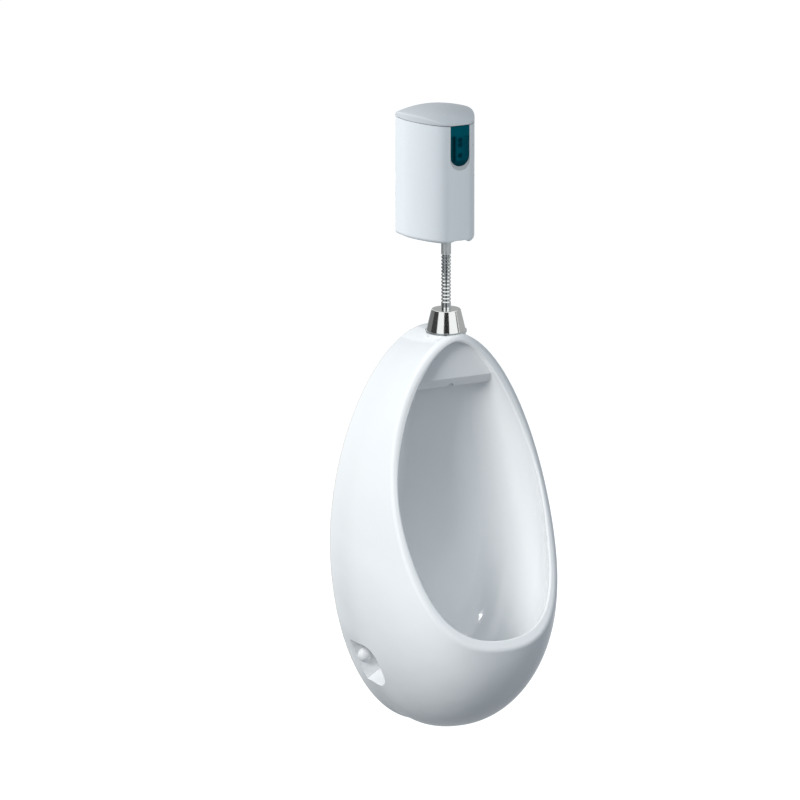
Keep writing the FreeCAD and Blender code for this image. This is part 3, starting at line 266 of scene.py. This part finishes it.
# One material: textures and masks by position on the piece, then colour, roughness and bumps
class Surface:
    def __init__(self, name, **sockets):
        self.material = bpy.data.materials.new(name)
        self.material.use_nodes = True
        self.tree = self.material.node_tree
        self.shader = self.tree.nodes["Principled BSDF"]
        self.position = self.node("TexCoord").outputs["Object"]
        self.normal = None
        fill(self.shader, sockets)

    def node(self, kind, **sockets):
        step = self.tree.nodes.new("ShaderNode" + kind)
        fill(step, sockets)
        return step

    def texture(self, kind, vector, **sockets):
        step = self.node(kind, **sockets)
        link(self.tree, vector, step.inputs["Vector"])
        return step

    def noise(self, scale, detail=4.0, rough=0.55, stretch=(1.0, 1.0, 1.0)):
        stretched = self.texture("Mapping", self.position, Scale=stretch).outputs[0]
        return self.texture("TexNoise", stretched, Scale=scale, Detail=detail, Roughness=rough).outputs["Fac"]

    def axis(self, letter):
        split = self.node("SeparateXYZ")
        link(self.tree, self.position, split.inputs[0])
        return split.outputs[letter]

    def combine(self, operation, *values):
        return combine(self.tree, operation, *values)

    def ranged(self, value, low, high, to_low, to_high):
        step = self.node("MapRange", From_Min=low, From_Max=high, To_Min=to_low, To_Max=to_high)
        step.interpolation_type = "SMOOTHSTEP"
        link(self.tree, value, step.inputs["Value"])
        return step.outputs[0]

    # 0 before a level on one axis, 1 past it
    def past(self, letter, level, soft):
        return self.ranged(self.axis(letter), level - soft, level + soft, 0.0, 1.0)

    # Round spot in the part's middle plane, seen from the front: 1 inside the radius, 0 outside it
    def spot(self, height, radius, soft):
        across = self.axis("X")
        up = self.combine("SUBTRACT", self.axis("Z"), height)
        squares = [self.combine("MULTIPLY", offset, offset) for offset in (across, up)]
        distance = self.combine("SQRT", self.combine("ADD", *squares))
        return self.ranged(distance, radius - soft, radius + soft, 1.0, 0.0)

    def ramp(self, value, *stops):
        ramp = self.node("ValToRGB")
        elements = ramp.color_ramp.elements
        while len(elements) < len(stops):
            elements.new(0.5)
        for element, (position, colour) in zip(elements, stops):
            element.position = position
            element.color = (*colour, 1.0)
        link(self.tree, value, ramp.inputs["Fac"])
        return ramp.outputs["Color"]

    # Two shades of one colour, mixed by a texture
    def mottled(self, value, dark, pale):
        return self.ramp(value, (NOISE_LOW, dark), (NOISE_HIGH, pale))

    def blend(self, mask, first, second):
        mix = self.node("Mix")
        mix.data_type = "RGBA"
        link(self.tree, mask, mix.inputs["Factor"])
        for index, value in ((MIX_FIRST, first), (MIX_SECOND, second)):
            if isinstance(value, tuple):
                mix.inputs[index].default_value = (*value, 1.0)
            else:
                link(self.tree, value, mix.inputs[index])
        return mix.outputs[MIX_RESULT]

    def colour(self, value):
        link(self.tree, value, self.shader.inputs["Base Color"])

    # Roughness from a texture, with more of it where a mask says so
    def roughness(self, value, low, high, extra=None):
        rough = self.ranged(value, NOISE_LOW, NOISE_HIGH, low, high)
        if extra is not None:
            rough = self.combine("ADD", rough, extra)
        link(self.tree, rough, self.shader.inputs["Roughness"])

    # Bump of the given height in metres, on top of those before it
    def bump(self, value, height):
        bump = self.node("Bump", Distance=height, Strength=1.0)
        link(self.tree, value, bump.inputs["Height"])
        if self.normal is not None:
            link(self.tree, self.normal, bump.inputs["Normal"])
        self.normal = bump.outputs["Normal"]
        link(self.tree, self.normal, self.shader.inputs["Normal"])

    def wear(self, *nodes):
        for node in nodes:
            materials = NODES[node].data.materials
            materials.clear()
            materials.append(self.material)


# Glazed white ceramic: slow waves in the glaze, fine peel, bare clay on the face against the wall
def ceramic():
    skin = Surface("glazed_ceramic", Coat_Weight=0.25, Coat_Roughness=0.04)
    glaze = skin.mottled(skin.noise(scale=5.0), dark=(0.865, 0.882, 0.892), pale=(0.888, 0.9, 0.908))
    clay = skin.ramp(skin.noise(scale=160.0), (0.35, (0.70, 0.67, 0.61)), (0.65, (0.78, 0.75, 0.69)))
    bare = skin.past("Y", -CLAY_DEPTH, CLAY_SOFT)
    skin.colour(skin.blend(bare, glaze, clay))
    chalky = skin.combine("MULTIPLY", bare, CLAY_ROUGHNESS)
    skin.roughness(skin.noise(scale=45.0), low=0.07, high=0.13, extra=chalky)
    skin.bump(skin.noise(scale=14.0, detail=2.0), height=0.0012)
    skin.bump(skin.noise(scale=420.0, detail=2.0), height=0.00004)
    skin.wear("bowl")


# Moulded plastic with the slow waves of a thick wall
def moulded(name, *nodes, dark, pale, rough):
    skin = Surface(name)
    base = skin.mottled(skin.noise(scale=4.0, detail=1.0), dark, pale)
    skin.colour(base)
    skin.roughness(skin.noise(scale=16.0, detail=2.0), rough - PLASTIC_SPREAD, rough + PLASTIC_SPREAD)
    skin.bump(skin.noise(scale=22.0, detail=2.0), height=0.00002)
    skin.wear(*nodes)
    return skin, base


# Casing plastic, with painted shade in the hollow under the window
def casing():
    skin, base = moulded(
        "casing_white", "front_cover", dark=(0.715, 0.755, 0.78), pale=(0.735, 0.775, 0.8), rough=0.3)
    window_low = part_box("sensor_window")[0]
    # Painted shade: the hollow under the window is coloured grey where shade falls
    hollow_shade = skin.spot(window_low.z + HOLLOW_SHADE_RISE, HOLLOW_SHADE_RADIUS, HOLLOW_SHADE_SOFT)
    grey = (0.47, 0.5, 0.52)
    skin.colour(skin.blend(hollow_shade, base, grey))


# Dark teal infra-red window: one dark stripe left of the middle, a paler top, a darker foot, three dark eyes
def window():
    skin = Surface("window_plastic", Specular_IOR_Level=0.03)
    low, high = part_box("sensor_window")
    across = skin.combine("DIVIDE", skin.combine("SUBTRACT", skin.axis("X"), low.x), high.x - low.x)
    edge, stripe, body = (0.0, 0.12, 0.16), (0.0, 0.02, 0.03), (0.0, 0.2, 0.27)
    top, foot, eye, haze = (0.0, 0.2, 0.26), (0.0, 0.08, 0.11), (0.0, 0.06, 0.09), (0.0, 0.12, 0.13)
    base = skin.ramp(across, (0.05, edge), (0.2, stripe), (0.36, body), (0.95, edge))
    base = skin.blend(skin.past("Z", high.z - WINDOW_BAND_DROP, WINDOW_BAND_SOFT), base, top)
    base = skin.blend(skin.past("Z", low.z + WINDOW_FOOT_RISE, WINDOW_FOOT_SOFT), foot, base)
    for drop in EYE_DROPS:
        base = skin.blend(skin.spot(high.z - drop, EYE_RADIUS, EYE_SOFT), base, eye)
    cloud = skin.ranged(skin.noise(scale=140.0), 0.35, 0.65, to_low=0.0, to_high=0.2)
    skin.colour(skin.blend(cloud, base, haze))
    skin.roughness(skin.noise(scale=60.0), low=0.06, high=0.1)
    skin.wear("sensor_window")


# Bright chrome plate with faint polishing waves, rougher where a mask is added
def chrome(skin, low, high, extra=None):
    skin.colour(skin.mottled(skin.noise(scale=30.0), dark=(0.84, 0.87, 0.86), pale=(0.89, 0.92, 0.91)))
    skin.roughness(skin.noise(scale=160.0), low, high, extra)
    skin.bump(skin.noise(scale=60.0, detail=2.0), height=0.0001)


# Cone over the inlet, a little duller than the tube
def cone():
    skin = Surface("chrome_cone", Metallic=1.0)
    chrome(skin, low=0.09, high=0.15)
    skin.wear("spud_cover")


# Flush tube: bright ribs, satin on the plain length above them
def tube():
    skin = Surface("chrome_tube", Metallic=1.0)
    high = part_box("flush_tube")[1]
    plain = skin.past("Z", high.z - TUBE_PLAIN_DROP, TUBE_PLAIN_SOFT)
    chrome(skin, low=0.04, high=0.08, extra=skin.combine("MULTIPLY", plain, TUBE_SATIN))
    skin.wear("flush_tube", "tube_nut")


# Steel with fine brushed lines along Z
def steel(*nodes):
    skin = Surface("steel", Metallic=1.0, Anisotropic=0.4)
    lines = skin.noise(scale=900.0, detail=3.0, rough=0.6, stretch=(1.0, 1.0, 0.04))
    skin.colour(skin.mottled(lines, dark=(0.5, 0.51, 0.52), pale=(0.66, 0.67, 0.68)))
    skin.roughness(lines, low=0.24, high=0.4)
    skin.bump(lines, height=0.00003)
    skin.wear(*nodes)


# Cast brass, a little tarnished
def brass(*nodes):
    skin = Surface("brass", Metallic=1.0)
    tarnish = skin.noise(scale=38.0, detail=6.0)
    brown, yellow, bright = (0.5, 0.36, 0.15), (0.72, 0.56, 0.27), (0.8, 0.66, 0.38)
    skin.colour(skin.ramp(tarnish, (0.3, brown), (0.55, yellow), (0.8, bright)))
    skin.roughness(tarnish, low=0.3, high=0.48)
    skin.bump(skin.noise(scale=700.0), height=0.00012)
    skin.wear(*nodes)


def rubber(*nodes):
    skin = Surface("rubber")
    skin.colour(skin.mottled(skin.noise(scale=60.0), dark=(0.022, 0.022, 0.024), pale=(0.045, 0.045, 0.047)))
    skin.roughness(skin.noise(scale=220.0), low=0.62, high=0.8)
    skin.bump(skin.noise(scale=1200.0), height=0.00006)
    skin.wear(*nodes)


# Green circuit board with paler tracks and round pads
def board():
    skin = Surface("board", Coat_Weight=0.3)
    upright = (math.radians(90.0), 0.0, 0.0)
    tracks = skin.texture(
        "TexBrick", skin.texture("Mapping", skin.position, Rotation=upright).outputs[0], Scale=150.0,
        Mortar_Size=0.03, Color1=(0.012, 0.09, 0.035, 1.0), Color2=(0.016, 0.12, 0.045, 1.0),
        Mortar=(0.03, 0.2, 0.08, 1.0))
    dots = skin.texture("TexVoronoi", skin.position, Scale=190.0).outputs["Distance"]
    pads = skin.ranged(dots, 0.1, 0.16, to_low=1.0, to_high=0.0)
    tin = (0.62, 0.6, 0.54)
    skin.colour(skin.blend(pads, tracks.outputs["Color"], tin))
    skin.roughness(skin.noise(scale=200.0), low=0.3, high=0.42)
    skin.bump(pads, height=0.0002)
    skin.wear("sensor_board")


def lens(name, *nodes, dark, pale):
    skin = Surface(name, Coat_Weight=0.8, Coat_Roughness=0.02)
    skin.colour(skin.mottled(skin.noise(scale=300.0), dark, pale))
    skin.roughness(skin.noise(scale=200.0), low=0.05, high=0.1)
    skin.wear(*nodes)


# Wrapped cells: dark sleeve, a copper-coloured band at the top, bright nib and rim
def cells():
    skin = Surface("cell_wrap", Coat_Weight=0.4)
    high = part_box("battery_cells")[1]
    sleeve = skin.mottled(skin.noise(scale=50.0), dark=(0.02, 0.022, 0.025), pale=(0.04, 0.042, 0.046))
    band = skin.past("Z", high.z - CELL_BAND_DROP, CELL_BAND_SOFT)
    nib = skin.past("Z", high.z - CELL_NIB_DROP, CELL_NIB_SOFT)
    copper, tin = (0.45, 0.2, 0.07), (0.62, 0.62, 0.6)
    skin.colour(skin.blend(nib, skin.blend(band, sleeve, copper), tin))
    link(skin.tree, skin.combine("MULTIPLY", nib, CELL_NIB_METAL), skin.shader.inputs["Metallic"])
    skin.roughness(skin.noise(scale=120.0), low=0.26, high=0.38)
    skin.wear("battery_cells")


# Coil: taped winding with turns showing as fine rings
def coil():
    skin = Surface("coil_tape")
    wave = skin.texture("TexWave", skin.position, Scale=260.0, Distortion=0.4)
    wave.bands_direction = "Z"
    turns = wave.outputs["Fac"]
    skin.colour(skin.ramp(turns, (0.2, (0.13, 0.06, 0.015)), (0.8, (0.25, 0.12, 0.03))))
    skin.roughness(skin.noise(scale=200.0), low=0.4, high=0.55)
    skin.bump(turns, height=0.0002)
    skin.wear("coil")


make_camera()
make_world()
make_floor()
make_lamps()
for name, (start, end, grey) in FLAGS.items():
    flag(name, start, end, grey)
ceramic()
casing()
# Lid: the casing's white plastic painted darker, as painted shade on its top
moulded("lid_painted_shade", "lid", dark=(0.56, 0.59, 0.615), pale=(0.58, 0.61, 0.635), rough=0.3)
moulded("cap_white", "left_cap", "right_cap", dark=(0.86, 0.87, 0.88), pale=(0.89, 0.9, 0.905), rough=0.18)
moulded("inner_white", "cap_washers", "piston", dark=(0.80, 0.80, 0.78), pale=(0.85, 0.85, 0.83), rough=0.4)
moulded(
    "plate_grey", "back_plate", "outlet_flange", dark=(0.42, 0.44, 0.45), pale=(0.48, 0.5, 0.51), rough=0.46)
moulded(
    "holder_black", "sensor_holder", "battery_holder", dark=(0.016, 0.016, 0.018), pale=(0.028, 0.028, 0.03),
    rough=0.48)
window()
cone()
tube()
steel(
    "strainer", "hanger_brackets", "cover_screws", "bonnet_screws", "core_tube", "coil_yoke", "plunger",
    "plunger_spring", "inlet_filter")
brass("inlet_nipple", "valve_body", "stop_plug", "bonnet")
rubber("outlet_gasket", "inlet_spud", "tube_washer", "nipple_seal", "bonnet_gasket", "valve_washer")
board()
lens("eye_dark", "ir_emitter", "ir_receiver", dark=(0.02, 0.008, 0.025), pale=(0.035, 0.014, 0.04))
lens("lamp_red", "status_light", dark=(0.4, 0.03, 0.02), pale=(0.55, 0.06, 0.04))
cells()
coil()
bpy.context.scene.view_settings.view_transform = "Standard"
